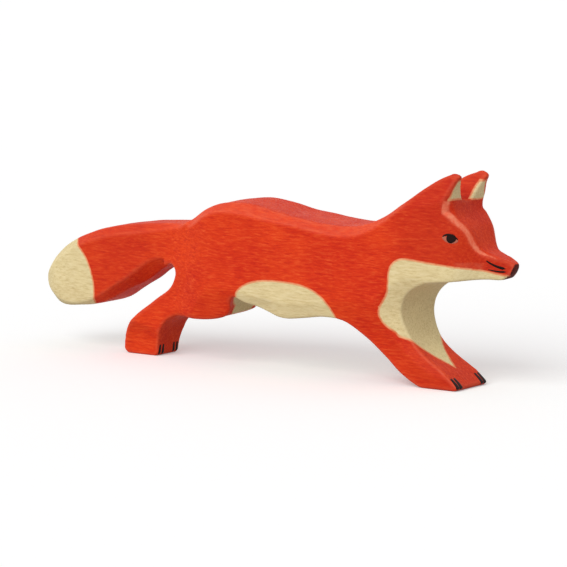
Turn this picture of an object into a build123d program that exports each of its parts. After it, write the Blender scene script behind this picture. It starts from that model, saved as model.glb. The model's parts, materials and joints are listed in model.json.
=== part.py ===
"""A running fox carved from plank and painted, parted into its carved masses and painted fields.

Millimetres. +X runs to the nose, +Z is up, Z = 0 is the floor and Y = 0 is the middle plane.
The fox's right flank faces -Y. The carving is shaped whole, so that every line runs on from piece
to piece, and is then parted along its creases and the edges of its painted fields.
"""
import os

from build123d import *

os.makedirs("parts", exist_ok=True)

# The plank that the figure is cut from, whose faces are the flanks at the haunch and the shoulder
PLANK_THICKNESS = 23.0

# How deep the knife goes in from each face of the plank, from the tail to the head
BRUSH_SHOULDER_INSET = 4.6
BRUSH_INSET = 3.0
TAIL_BACK_INSET = 4.0
TAIL_ROOT_INSET = 4.7
RUMP_INSET = 0.5
WAIST_INSET = 0.6
CHEEK_INSET = 0.5
EYE_INSET = 2.3
UNDERSIDE_INSET = 2.1
FORE_ANKLE_INSET = 3.0
FORE_FOOT_INSET = 3.3
HIND_ANKLE_INSET = 4.9
HIND_FOOT_INSET = 6.2
EAR_TIP_INSET = 3.1
GROIN_PATCH_INSET = 1.6

# Widths at the ends of the figure, at the ears, and of the groin's patch to each side
BRUSH_END_WIDTH = 8.5
STOP_WIDTH = 10.4
MUZZLE_WIDTH = 6.6
NOSE_WIDTH = 2.9
EAR_NOTCH_WIDTH = 5.6
EAR_TIP_THICKNESS = 0.9
GROIN_PATCH_RIGHT = 1.6
GROIN_PATCH_LEFT = 7.0

# The rump, haunch and shoulder reach their widths this far behind their landmarks of the back
FLANK_SETBACK = 4.0

# Knife facets, as the width taken off each of the two faces that meet at the edge. The chest's
# facet reaches further over the flank than over the front
SPINE_FACET = 2.6
BRUSH_FACET = 2.6
BRUSH_UNDER_FACET = 3.8
CHEEK_FACET = 2.2
CHEST_FACET = 2.2
CHEST_FLANK_FACET = 6.6

# Depth of the painted fields, and the width of a brush stroke
MARK_DEPTH = 0.6
LINING_DEPTH = 0.9
BIB_DEPTH = 2.0
PATCH_DEPTH = 1.0
NOSE_DEPTH = 0.4
STROKE_WIDTH = 0.6
LINING_EDGE = 1.2
CLAW_WIDTH = 1.0
CLAW_EDGE = 0.8
CLAW_SPACING = 1.7

# Heights, and lengths along the ears
LEG_TAPER_TOP = 27.0
UNDERSIDE_HEIGHT = 15.0
ANKLE_HEIGHT = 8.0
EAR_JOINT_RISE = 0.2
EAR_LEAN_DROP = 3.0
LINING_LENGTH = 5.1
CLAW_FOOT_HEIGHT = 0.4
CLAW_HEIGHT = 3.4
BIB_POINT_HEIGHT = 5.4
BIB_EDGE_HEIGHT = 13.9

# Landmarks of the side outline as (X, Z). These four place the head, the tail and the feet
EAR_BASE = (67.1, 53.7)
TAIL_CREASE = (-26.0, 41.0)
FORE_SOLE_BACK = (57.5, 0.0)
HIND_SOLE_BACK = (-49.0, 0.0)


def from_ear(x, z):
    """A landmark of the head, as a step from the base of the ears."""
    return (EAR_BASE[0] + x, EAR_BASE[1] + z)


def from_crease(x, z):
    """A landmark of the tail, as a step from its crease with the rump."""
    return (TAIL_CREASE[0] + x, TAIL_CREASE[1] + z)


def from_fore_foot(x, z):
    """A landmark of the forelegs, as a step from the back of their sole."""
    return (FORE_SOLE_BACK[0] + x, FORE_SOLE_BACK[1] + z)


def from_hind_foot(x, z):
    """A landmark of the hind legs, as a step from the back of their sole."""
    return (HIND_SOLE_BACK[0] + x, HIND_SOLE_BACK[1] + z)


# From the tail's end over the back to the nose
TAIL_END = from_crease(-59.0, -22.4)
BRUSH_END_TOP = from_crease(-55.6, -16.6)
BRUSH_SHOULDER = from_crease(-49.2, -11.1)
BRUSH_TOP = from_crease(-39.0, -6.3)
TAIL_BACK = from_crease(-19.0, -1.6)
RUMP_FALL = from_crease(5.5, 3.4)
RUMP_TURN = (-14.0, 47.7)
RUMP = (-5.0, 48.8)
LOIN = (9.0, 46.8)
SADDLE = (27.0, 44.6)
WITHERS = (38.0, 45.2)
NECK_FOOT = (44.8, 47.7)
NAPE = from_ear(-6.3, 3.9)
EAR_BACK = from_ear(-1.1, 6.9)
EAR_CROWN = from_ear(1.3, 7.5)
EAR_TIP = from_ear(2.6, 6.5)
FOREHEAD = from_ear(1.6, -3.7)
BROW = from_ear(5.0, -7.4)
STOP = from_ear(8.5, -13.6)
MUZZLE = from_ear(12.9, -15.3)
NOSE_TOP = from_ear(16.1, -16.4)
NOSE_TIP = from_ear(17.4, -17.6)

# From the nose down the chest and round the legs back to the tail
NOSE_LOW = from_ear(16.3, -19.8)
CHIN = from_ear(14.1, -21.4)
JAW = from_ear(4.9, -22.4)
THROAT = from_ear(-7.6, -24.0)
CHEST_TOP = from_ear(-13.1, -27.0)
CHEST_HOLLOW = from_fore_foot(-6.1, 20.6)
FORELEG_FRONT = from_fore_foot(-2.3, 11.9)
INSTEP = from_fore_foot(6.2, 5.8)
FORE_TOE = from_fore_foot(12.5, 0.9)
FORE_SOLE_FRONT = from_fore_foot(11.7, 0.0)
FORE_HEEL = from_fore_foot(-4.7, 2.3)
FORELEG_BACK = from_fore_foot(-15.5, 11.2)
ELBOW = (31.0, 17.4)
BELLY = (12.0, 15.9)
GROIN = (-6.2, 21.0)
THIGH_FRONT = (-10.8, 18.2)
THIGH_LOW = (-13.2, 13.5)
THIGH_UNDER = (-24.0, 12.5)
HOCK_FRONT = from_hind_foot(16.6, 12.2)
HIND_SHIN = from_hind_foot(12.0, 8.2)
HIND_TOE = from_hind_foot(10.1, 0.9)
HIND_SOLE_FRONT = from_hind_foot(9.5, 0.0)
HIND_HEEL = from_hind_foot(-1.3, 1.1)
HOCK = from_hind_foot(3.2, 11.4)
HIND_LEG_BACK = from_hind_foot(13.0, 18.5)
NOTCH_LEG = from_crease(-3.9, -14.9)
NOTCH_TOP = from_crease(-5.4, -12.4)
NOTCH_TAIL = from_crease(-7.8, -12.7)
TAIL_UNDER = from_crease(-18.0, -17.7)
BRUSH_UNDER = from_crease(-32.0, -26.1)
BRUSH_KEEL = from_crease(-44.0, -28.0)
BRUSH_END_LOW = from_crease(-55.0, -26.8)

# Borders of the painted fields on the flank as (X, Z)
TIP_BORDER_TOP = from_crease(-45.0, -6.4)
TIP_BORDER_BOW = from_crease(-34.6, -17.0)
TIP_BORDER_LOW = from_crease(-34.9, -28.4)
BIB_NOSE = from_ear(15.3, -20.0)
BIB_CHEEK = from_ear(0.3, -18.0)
BIB_NECK = from_ear(-10.2, -17.0)
BIB_BACK = from_ear(-15.0, -17.2)
BIB_TURN = from_ear(-17.6, -19.4)
BIB_WAIST = from_ear(-18.8, -26.5)
BIB_CORNER = from_fore_foot(-11.9, 22.6)
BIB_FOOT = from_fore_foot(-7.9, 15.4)
PATCH_BACK = (-4.6, 22.6)
PATCH_TOP = (11.0, 27.0)
PATCH_FRONT = (25.1, 24.0)
EYE_BACK = from_ear(-0.9, -9.2)
EYE_TOP = from_ear(1.3, -8.7)
EYE_LOW = from_ear(1.2, -11.2)
EYE_FRONT = from_ear(3.2, -9.8)
SMILE_BACK = from_ear(9.9, -16.3)
SMILE_FRONT = from_ear(14.9, -18.5)
LIP_BACK = from_ear(11.9, -18.9)

# A length past every face of the carving, for the solids that cut it
BEYOND = 30.0

# Directions along the figure and up from the floor
ALONG = Vector(1, 0, 0)
UP = Vector(0, 0, 1)


def at(spot):
    """A landmark as a point on the middle plane."""
    return Vector(spot[0], 0, spot[1])


def between(first, second, share=0.5):
    """The landmark on the straight line through two others, at a share of the way."""
    x = first[0] + (second[0] - first[0]) * share
    z = first[1] + (second[1] - first[1]) * share
    return (x, z)


def moved(spot, x, z):
    """A landmark moved along X and Z."""
    return (spot[0] + x, spot[1] + z)


def curve(*spots):
    """A smooth line through landmarks."""
    return Spline(*[at(spot) for spot in spots])


def arc(start, middle, end):
    """An arc through three landmarks."""
    return ThreePointArc(at(start), at(middle), at(end))


def straight(*spots):
    """A run of straight lines through landmarks."""
    return Polyline(*[at(spot) for spot in spots])


def across(*lines):
    """A solid as wide as the figure and more, with a closed side outline."""
    edges = [edge for line in lines for edge in line.edges()]
    return extrude(Face(Wire(edges)), BEYOND, dir=(0, 1, 0), both=True)


def block(*spots):
    """A solid as wide as the figure and more, with straight sides through landmarks."""
    return across(straight(*spots, spots[0]))


def lengthwise(outline, start, end):
    """A solid with an outline of (Y, Z) points, running along the figure."""
    points = [Vector(start, y, z) for y, z in outline]
    return extrude(Face(Wire.make_polygon(points)), end - start, dir=(1, 0, 0))


def both_sides(cutter):
    """A cutter and its mirror image on the other flank."""
    return [cutter, mirror(cutter, about=Plane.XZ)]


def share_on(line, axis, value):
    """How far along a line it comes to a value on an axis, the line running one way along that axis."""
    low, high = 0.0, 1.0
    rising = (line @ 1).dot(axis) > (line @ 0).dot(axis)
    for _ in range(40):
        middle = (low + high) / 2
        if ((line @ middle).dot(axis) < value) == rising:
            low = middle
        else:
            high = middle
    return low


def facet(corners, first, second):
    """A cutter that takes a facet off an edge.

    corners are points of the edge. first and second are, for each corner, the steps over the two
    faces that the facet reaches to.
    """
    sections = []
    for corner, one, two in zip(corners, first, second):
        along = (one - two) * 0.4
        outside = (one + two) * -1.2
        points = [corner + one + along, corner + two - along, corner + outside]
        sections.append(Face(Wire.make_polygon(points)))
    return loft(sections)


# Side outline
tail_top = curve(TAIL_END, BRUSH_END_TOP, BRUSH_SHOULDER, BRUSH_TOP, TAIL_BACK, TAIL_CREASE)
back = curve(TAIL_CREASE, RUMP_FALL, RUMP_TURN, RUMP, LOIN, SADDLE, WITHERS, NECK_FOOT, NAPE, EAR_BACK)
crown = arc(EAR_BACK, EAR_CROWN, EAR_TIP)
face_line = curve(EAR_TIP, EAR_BASE, FOREHEAD, BROW, STOP, MUZZLE, NOSE_TOP)
nose_end = curve(NOSE_TOP, NOSE_TIP, NOSE_LOW, CHIN)
chest = curve(CHIN, JAW, THROAT, CHEST_TOP, CHEST_HOLLOW, FORELEG_FRONT, INSTEP, FORE_TOE)
fore_sole = straight(FORE_TOE, FORE_SOLE_FRONT, FORE_SOLE_BACK)
belly_line = curve(FORE_SOLE_BACK, FORE_HEEL, FORELEG_BACK, ELBOW, BELLY, GROIN)
thigh = curve(GROIN, THIGH_FRONT, THIGH_LOW)
shin = curve(THIGH_LOW, THIGH_UNDER, HOCK_FRONT, HIND_SHIN, HIND_TOE)
hind_sole = straight(HIND_TOE, HIND_SOLE_FRONT, HIND_SOLE_BACK, HIND_HEEL)
leg_back = curve(HIND_HEEL, HOCK, HIND_LEG_BACK, NOTCH_LEG)
notch = arc(NOTCH_LEG, NOTCH_TOP, NOTCH_TAIL)
tail_low = curve(NOTCH_TAIL, TAIL_UNDER, BRUSH_UNDER, BRUSH_KEEL, BRUSH_END_LOW, TAIL_END)
carved = across(
    tail_top, back, crown, face_line, nose_end, chest, fore_sole,
    belly_line, thigh, shin, hind_sole, leg_back, notch, tail_low,
)

# Plan outline of the right flank, as half widths at stations along the figure
plank_half = PLANK_THICKNESS / 2
flank_stations = [
    (NOSE_TIP[0], NOSE_WIDTH / 2),
    (MUZZLE[0], MUZZLE_WIDTH / 2),
    (STOP[0], STOP_WIDTH / 2),
    (EAR_TIP[0], plank_half - EYE_INSET),
    (NAPE[0], plank_half - CHEEK_INSET),
    (WITHERS[0] - FLANK_SETBACK, plank_half),
    (BELLY[0], plank_half - WAIST_INSET),
    (RUMP[0] - FLANK_SETBACK, plank_half),
    (RUMP_TURN[0] - FLANK_SETBACK, plank_half - RUMP_INSET),
    (NOTCH_TOP[0], plank_half - TAIL_ROOT_INSET),
    (TAIL_BACK[0], plank_half - TAIL_BACK_INSET),
    (BRUSH_TOP[0], plank_half - BRUSH_INSET),
    (BRUSH_SHOULDER[0], plank_half - BRUSH_SHOULDER_INSET),
    (BRUSH_END_TOP[0], BRUSH_END_WIDTH / 2),
]
tail_end = Vector(TAIL_END[0], 0, 0)
right_points = [Vector(x, -half, 0) for x, half in flank_stations]
left_points = [Vector(x, half, 0) for x, half in reversed(flank_stations)]
plan_line = Spline(*right_points, tail_end, *left_points)
plan_close = Line(left_points[-1], right_points[0])
plan_face = Pos(0, 0, -BEYOND) * Face(Wire([plan_line, plan_close]))
plan = extrude(plan_face, EAR_CROWN[1] + 2 * BEYOND, dir=(0, 0, 1))
carved = carved & plan


def half_width(x):
    """The plan's half width at a station along the figure."""
    low, high = 0.0, 0.5
    for _ in range(40):
        middle = (low + high) / 2
        if (plan_line @ middle).X > x:
            low = middle
        else:
            high = middle
    return abs((plan_line @ low).Y)


def taper_lines(foot_half, ankle_half, start):
    """The lines on which the body and a pair of legs narrow, above and below the underside."""
    flank = Vector(start, plank_half + 0.3, LEG_TAPER_TOP)
    underside = Vector(start, plank_half - UNDERSIDE_INSET, UNDERSIDE_HEIGHT)
    ankle = Vector(start, ankle_half, ANKLE_HEIGHT)
    foot = Vector(start, foot_half, 0)
    lean = flank - underside
    body_line = Spline(flank, underside, tangents=[(0, 0, -1), -lean])
    leg_line = Spline(underside, ankle, foot, tangents=[-lean, (0, 0, -1)])
    return body_line, leg_line


def leg_taper(lines, end):
    """A cutter that narrows the body and a pair of legs from the flank down to the feet."""
    body_line, leg_line = lines
    flank = body_line @ 0
    foot = leg_line @ 1
    out = Vector(foot.X, BEYOND, 0)
    rim = Polyline(foot, foot - UP, out - UP, out + UP * LEG_TAPER_TOP, flank)
    outline = Wire([body_line, leg_line, *rim.edges()])
    return extrude(Face(outline), end - foot.X, dir=ALONG)


# Legs narrow towards the feet
middle_x = BELLY[0]
fore_foot_half = plank_half - FORE_FOOT_INSET
hind_foot_half = plank_half - HIND_FOOT_INSET
hind_lines = taper_lines(hind_foot_half, plank_half - HIND_ANKLE_INSET, TAIL_END[0])
fore_lines = taper_lines(fore_foot_half, plank_half - FORE_ANKLE_INSET, middle_x)
carved = carved - both_sides(leg_taper(hind_lines, middle_x))
carved = carved - both_sides(leg_taper(fore_lines, NOSE_TIP[0]))


def chest_half(point):
    """The half width of the chest and the forelegs at a point of their front."""
    body_line, leg_line = fore_lines
    plan_half = half_width(point.X)
    if point.Z >= LEG_TAPER_TOP:
        return plan_half
    line = body_line if point.Z >= UNDERSIDE_HEIGHT else leg_line
    return min(plan_half, (line @ share_on(line, UP, point.Z)).Y)


# Ears: a V notch between them, and sides that lean in to the tips
tip_half = plank_half - EAR_TIP_INSET
notch_half = EAR_NOTCH_WIDTH / 2
notch_floor = EAR_BASE[1]
notch_side = between((notch_half, notch_floor), (tip_half - EAR_TIP_THICKNESS, EAR_CROWN[1]), 1.3)
notch_outline = [
    (-notch_half, notch_floor),
    (notch_half, notch_floor),
    notch_side,
    (-notch_side[0], notch_side[1]),
]
carved = carved - lengthwise(notch_outline, SADDLE[0], NOSE_TIP[0])
lean_foot = (plank_half, notch_floor - EAR_LEAN_DROP)
lean_side = between(lean_foot, (tip_half, EAR_CROWN[1]), 1.3)
lean_outline = [lean_foot, lean_side, (BEYOND, lean_side[1]), (BEYOND, lean_foot[1])]
ear_lean = lengthwise(lean_outline, SADDLE[0], NOSE_TIP[0])
carved = carved - both_sides(ear_lean)


def edge_facet(line, cuts, down):
    """A facet along the edge between a side line of the outline and the left flank.

    cuts are (X, width) pairs along the edge; down is 1 over the figure and -1 under it.
    """
    corners = []
    first = []
    second = []
    for x, width in cuts:
        half = half_width(x)
        point = line @ share_on(line, ALONG, x)
        corners.append(Vector(x, half, point.Z))
        first.append(Vector(0, -width, 0))
        second.append(Vector(0, 0, -width * down))
    return facet(corners, first, second)


# Facets along the back, over and under the tail, from the ears to the muzzle and down the chest
spine_cuts = [
    (TAIL_CREASE[0] + 1.5, 0.5 * SPINE_FACET),
    (RUMP_FALL[0] + 2.0, SPINE_FACET),
    (RUMP[0] - 4.0, SPINE_FACET),
    (LOIN[0], SPINE_FACET),
    (SADDLE[0], SPINE_FACET),
    (WITHERS[0], SPINE_FACET),
    (NECK_FOOT[0], 0.8 * SPINE_FACET),
    (NAPE[0] - 6.0, 0.5 * SPINE_FACET),
    (NAPE[0], 0.25 * SPINE_FACET),
]
brush_cuts = [
    (TAIL_END[0] + 0.6, 0.35 * BRUSH_FACET),
    (BRUSH_END_TOP[0], 0.9 * BRUSH_FACET),
    (BRUSH_SHOULDER[0], 1.2 * BRUSH_FACET),
    (BRUSH_TOP[0], BRUSH_FACET),
    (TAIL_BACK[0], BRUSH_FACET),
    (NOTCH_TAIL[0], 0.7 * BRUSH_FACET),
    (TAIL_CREASE[0] - 0.5, 0.3 * BRUSH_FACET),
]
keel_cuts = [
    (TAIL_END[0] + 0.6, 0.35 * BRUSH_FACET),
    (BRUSH_END_LOW[0], 0.9 * BRUSH_FACET),
    (BRUSH_KEEL[0], 0.4 * BRUSH_FACET),
    (BRUSH_UNDER[0], 0.6 * BRUSH_UNDER_FACET),
    (TAIL_UNDER[0], BRUSH_UNDER_FACET),
    (NOTCH_TAIL[0] - 1.0, 0.6 * BRUSH_UNDER_FACET),
]
carved = carved - both_sides(edge_facet(back, spine_cuts, 1))
carved = carved - both_sides(edge_facet(tail_top, brush_cuts, 1))
carved = carved - both_sides(edge_facet(tail_low, keel_cuts, -1))
cheek_corners = []
cheek_first = []
cheek_second = []
cheek_cuts = [(0.12, 0.3), (0.24, 0.7), (0.36, 1), (0.48, 1), (0.6, 1), (0.72, 0.8), (0.9, 0.5)]
for share, width in cheek_cuts:
    point = face_line @ share
    reach = width * CHEEK_FACET
    half = half_width(point.X)
    cheek_corners.append(Vector(point.X, half, point.Z))
    cheek_first.append(Vector(0, -reach, 0))
    cheek_second.append(Vector(-reach, half_width(point.X - reach) - half, -0.4 * reach))
carved = carved - both_sides(facet(cheek_corners, cheek_first, cheek_second))
chest_corners = []
chest_first = []
chest_second = []
chest_cuts = [
    (between(JAW, THROAT)[1], 0.1),
    (THROAT[1], 0.25),
    (CHEST_TOP[1], 0.65),
    (CHEST_HOLLOW[1], 1),
    (FORELEG_FRONT[1], 0.6),
    (INSTEP[1], 0.4),
    (between(INSTEP, FORE_TOE, 0.3)[1], 0.15),
]
for height, width in chest_cuts:
    share = share_on(chest, UP, height)
    point = chest @ share
    run = chest % share
    chest_corners.append(point + Vector(0, chest_half(point), 0))
    chest_first.append(Vector(0, -width * CHEST_FACET, 0))
    chest_second.append(Vector(run.Z, 0, -run.X) * (width * CHEST_FLANK_FACET))
carved = carved - both_sides(facet(chest_corners, chest_first, chest_second))


def side_of(solid, side):
    """The part of a solid on one side of the middle plane, 1 for the left and -1 for the right."""
    return solid & (Pos(0, side * FAR / 2, 0) * Box(2 * FAR, FAR, 2 * FAR))


def skin(region, push):
    """The layer of the carving's surface inside a region that a push of the carving leaves free."""
    return (carved & region) - Pos(*push) * carved


def stroke(start, end):
    """A brush stroke seen from the side, drawn out thin at its start."""
    run = at(end) - at(start)
    step = Vector(-run.Z, 0, run.X).normalized() * (STROKE_WIDTH / 2)
    thin = step * 0.4
    corners = [at(start) + thin, at(end) + step, at(end) - step, at(start) - thin]
    return extrude(Face(Wire.make_polygon(corners)), BEYOND, dir=(0, 1, 0), both=True)


def claws(toe, foot_half, side):
    """Two upright strokes on the front of the toes, at the outer corner of a foot."""
    middle = (CLAW_FOOT_HEIGHT + CLAW_HEIGHT) / 2
    outer = foot_half - CLAW_EDGE
    bars = []
    for y in (outer, outer - CLAW_SPACING):
        bar = Box(4 * CLAW_HEIGHT, CLAW_WIDTH, CLAW_HEIGHT - CLAW_FOOT_HEIGHT)
        bars.append(Pos(toe[0], side * y, middle) * bar)
    return skin(bars[0] + bars[1], (-MARK_DEPTH, 0, 0))


# Fields of the carving, each as the space that its piece fills
FAR = 4 * BEYOND
over_crease = between(NOTCH_TOP, TAIL_CREASE, 2)
gap_in = between(TAIL_UNDER, HIND_LEG_BACK)
gap_out = between(BRUSH_UNDER, HOCK)
in_notch = moved(NOTCH_TOP, 0, -0.5)
tail_field = block(
    over_crease, in_notch, gap_in, gap_out, (-FAR, -FAR), (-FAR, FAR), (over_crease[0], FAR)
)
tip_field = across(
    arc(TIP_BORDER_TOP, TIP_BORDER_BOW, TIP_BORDER_LOW),
    straight(TIP_BORDER_LOW, (TIP_BORDER_LOW[0], -FAR), (-FAR, -FAR)),
    straight((-FAR, -FAR), (-FAR, FAR), (TIP_BORDER_TOP[0], FAR), TIP_BORDER_TOP),
)
in_groin = moved(GROIN, 0, -0.6)
under_groin = moved(GROIN, 2.0, -6.0)
hind_field = block(
    in_notch, in_groin, under_groin, (under_groin[0], -FAR), (-FAR, -FAR), gap_out, gap_in
)
under_elbow = between(BIB_CORNER, ELBOW, 1.3)
in_chest = between(ELBOW, BIB_CORNER, 1.3)
fore_field = block(under_elbow, in_chest, (FAR, in_chest[1]), (FAR, -FAR), (under_elbow[0], -FAR))
over_withers = between(BIB_TURN, WITHERS, 1.5)
in_throat = between(WITHERS, BIB_TURN, 1.3)
head_field = block(over_withers, in_throat, (FAR, in_throat[1]), (FAR, FAR), (over_withers[0], FAR))
ear_joint = notch_floor + EAR_JOINT_RISE
lining_top = ear_joint + LINING_LENGTH
ear_field = Pos(NAPE[0], 0, ear_joint + FAR / 2) * Box(BEYOND, FAR, FAR)
lining_field = block(
    (NAPE[0], ear_joint), (FAR, ear_joint), (FAR, lining_top), (NAPE[0], lining_top)
)
lining_edge = Pos(0, -LINING_EDGE, 0) * ear_lean
lining_field = lining_field - both_sides(lining_edge)
nose_field = block(
    moved(NOSE_TIP, -NOSE_DEPTH, BEYOND),
    moved(NOSE_TIP, -NOSE_DEPTH, 0),
    moved(NOSE_LOW, -NOSE_DEPTH, 0),
    moved(CHIN, -0.4 * NOSE_DEPTH, 0),
    moved(CHIN, -0.4 * NOSE_DEPTH, -BEYOND / 10),
    moved(CHIN, FAR, -BEYOND / 10),
    moved(NOSE_TIP, FAR, BEYOND),
)

# The bib runs along the jaw and down the chest, and ends in a V on the front of the forelegs
leg_in = moved(FORELEG_FRONT, -BIB_DEPTH, -0.8 * BIB_DEPTH)
instep_in = moved(INSTEP, -BIB_DEPTH, -1.2 * BIB_DEPTH)
bib_side = across(
    curve(BIB_NOSE, BIB_CHEEK, BIB_NECK, BIB_BACK, BIB_TURN, BIB_WAIST, BIB_CORNER, BIB_FOOT),
    straight(BIB_FOOT, leg_in, instep_in, (FAR, instep_in[1]), (FAR, BIB_NOSE[1]), BIB_NOSE),
)
bib_slope = (BIB_EDGE_HEIGHT - BIB_POINT_HEIGHT) / fore_foot_half
bib_wing = BIB_POINT_HEIGHT + BEYOND * bib_slope
bib_front = [
    (0, BIB_POINT_HEIGHT),
    (BEYOND, bib_wing),
    (BEYOND, FAR),
    (-BEYOND, FAR),
    (-BEYOND, bib_wing),
]
bib_field = bib_side & lengthwise(bib_front, BELLY[0], FAR)

# The belly patch arches over the flanks, and runs down the front of the thighs in the groin
patch_start = moved(GROIN, 0, -2.0)
patch_end = moved(ELBOW, -0.3, -2.4)
patch_side = across(
    curve(patch_start, PATCH_BACK, PATCH_TOP, PATCH_FRONT, patch_end),
    straight(patch_end, (patch_end[0], -FAR), (patch_start[0], -FAR), patch_start),
)
thigh_layer = block(
    moved(GROIN, -PATCH_DEPTH, PATCH_DEPTH),
    moved(THIGH_FRONT, -PATCH_DEPTH, 0),
    moved(THIGH_LOW, -PATCH_DEPTH, 0),
    moved(THIGH_LOW, -PATCH_DEPTH, -2.0),
    moved(GROIN, PATCH_DEPTH, THIGH_LOW[1] - GROIN[1] - 2.0),
    moved(GROIN, PATCH_DEPTH, PATCH_DEPTH),
)
groin_half = plank_half - GROIN_PATCH_INSET
groin_patch = [
    (-GROIN_PATCH_RIGHT, 0),
    (-GROIN_PATCH_RIGHT, between(THIGH_FRONT, THIGH_LOW, 0.3)[1]),
    (-groin_half, GROIN[1]),
    (-groin_half, GROIN[1] + BEYOND),
    (groin_half, GROIN[1] + BEYOND),
    (groin_half, GROIN[1]),
    (GROIN_PATCH_LEFT, THIGH_LOW[1]),
    (GROIN_PATCH_LEFT, 0),
]
patch_field = patch_side + (thigh_layer & lengthwise(groin_patch, -BEYOND, BEYOND))

# Painted marks that lie in the surface
eye_field = across(arc(EYE_BACK, EYE_TOP, EYE_FRONT), arc(EYE_FRONT, EYE_LOW, EYE_BACK))
mouth_field = stroke(SMILE_BACK, SMILE_FRONT) + stroke(LIP_BACK, SMILE_FRONT)
pieces = {}
for name, side in (("right", -1), ("left", 1)):
    inward = (0, -side * MARK_DEPTH, 0)
    pieces[name + "_eye"] = skin(side_of(eye_field, side), inward)
    pieces[name + "_mouth_lines"] = skin(side_of(mouth_field, side), inward)
    pieces[name + "_fore_claws"] = claws(FORE_TOE, fore_foot_half, side)
    pieces[name + "_hind_claws"] = claws(HIND_TOE, hind_foot_half, side)
    pieces[name + "_ear_lining"] = skin(side_of(lining_field, side), (-LINING_DEPTH, 0, 0))

# Parting: each field takes its piece out of what is left, and the torso is the rest
rest = carved - list(pieces.values())
fields = {
    "nose": nose_field,
    "right_ear": side_of(ear_field, -1),
    "left_ear": side_of(ear_field, 1),
    "tail_tip": tip_field,
    "tail": tail_field,
    "bib": bib_field,
    "belly_patch": patch_field,
    "head": head_field,
    "forelegs": fore_field,
    "hind_legs": hind_field,
}
for name, field in fields.items():
    pieces[name] = rest & field
    rest = rest - field
pieces["torso"] = rest

# The origin lies on the floor below the middle of the figure's length
box = carved.bounding_box()
home = Pos(-(box.min.X + box.max.X) / 2, 0, -box.min.Z)
for name, piece in pieces.items():
    export_step(home * piece, "parts/" + name + ".step")
    print(name, len(piece.solids()), round(piece.volume, 2))
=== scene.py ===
"""The looks of the carved fox: softened knife cuts, thin paint, brush strokes and studio light.

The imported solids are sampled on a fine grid. Their common surface is softened like sanded wood, and is
then parted again along the borders of the solids, so that no seam shows where two pieces share a colour.
"""
import json
import math

import bpy
import numpy as np
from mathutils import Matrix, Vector
from mathutils.bvhtree import BVHTree


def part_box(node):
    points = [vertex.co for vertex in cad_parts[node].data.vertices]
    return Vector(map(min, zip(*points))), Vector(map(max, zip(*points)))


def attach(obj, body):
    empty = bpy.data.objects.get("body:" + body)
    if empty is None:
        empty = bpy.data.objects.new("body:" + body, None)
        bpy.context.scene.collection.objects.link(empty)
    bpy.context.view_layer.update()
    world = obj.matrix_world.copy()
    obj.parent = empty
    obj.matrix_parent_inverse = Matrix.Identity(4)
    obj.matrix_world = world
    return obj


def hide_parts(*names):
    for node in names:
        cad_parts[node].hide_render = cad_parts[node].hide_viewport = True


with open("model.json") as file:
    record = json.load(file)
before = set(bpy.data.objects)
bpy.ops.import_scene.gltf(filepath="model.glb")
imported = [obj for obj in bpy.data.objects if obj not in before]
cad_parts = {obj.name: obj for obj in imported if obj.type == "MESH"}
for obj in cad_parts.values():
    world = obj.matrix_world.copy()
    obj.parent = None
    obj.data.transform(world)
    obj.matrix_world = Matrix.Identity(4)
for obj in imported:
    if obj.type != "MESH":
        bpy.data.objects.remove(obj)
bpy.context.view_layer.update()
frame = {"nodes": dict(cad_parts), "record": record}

MM = 0.001

# Grid around the figure, in millimetres. The offset keeps its points off the planes of the solids
CELL = 0.4
GRID_OFFSET = (0.013, 0.017, 0.011)
BAND_CELLS = 4
SKIN_CELLS = 2
RAY_STEP = 0.001

# Labels of the grid points: steps to the six neighbours, how many of them have to share a point's label,
# and the rounds of mending
STEPS = [sign * step for step in np.eye(3, dtype=int) for sign in (1, -1)]
LIKE_NEIGHBOURS = 3
LABEL_ROUNDS = 4

# Two solids touch where their faces lie this close, in millimetres, and face each other
BOX_MARGIN = 0.2
TOUCH_GAP = 0.02
TOUCH_FACING = -0.9

# Sanding, and the unevenness that the hand leaves above the soles, in millimetres
SANDING_ROUNDS = 1
WAVE_HEIGHT = 0.025
WAVE_LENGTHS = (7.0, 20.0)
WAVE_COUNT = 14
WAVE_SEED = 7
WAVE_FOOT = 1.5
WAVE_RISE = 3.0

# Cheeks, in millimetres. The facet is the width that the knife took off each face. The fuller wood fades
# in below the crown, behind the eye and behind the nose, and stops at the jaw
CHEEK_FACET = 1.1
CHEEK_BELOW_CROWN = (1.0, 4.5)
CHEEK_BEHIND_EYE = 4.0
CHEEK_BEHIND_NOSE = (4.0, 9.0)
CHEEK_FADE = 4.0
JAW_HEIGHT = 3.0
FLANK_CELLS = 9

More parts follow.
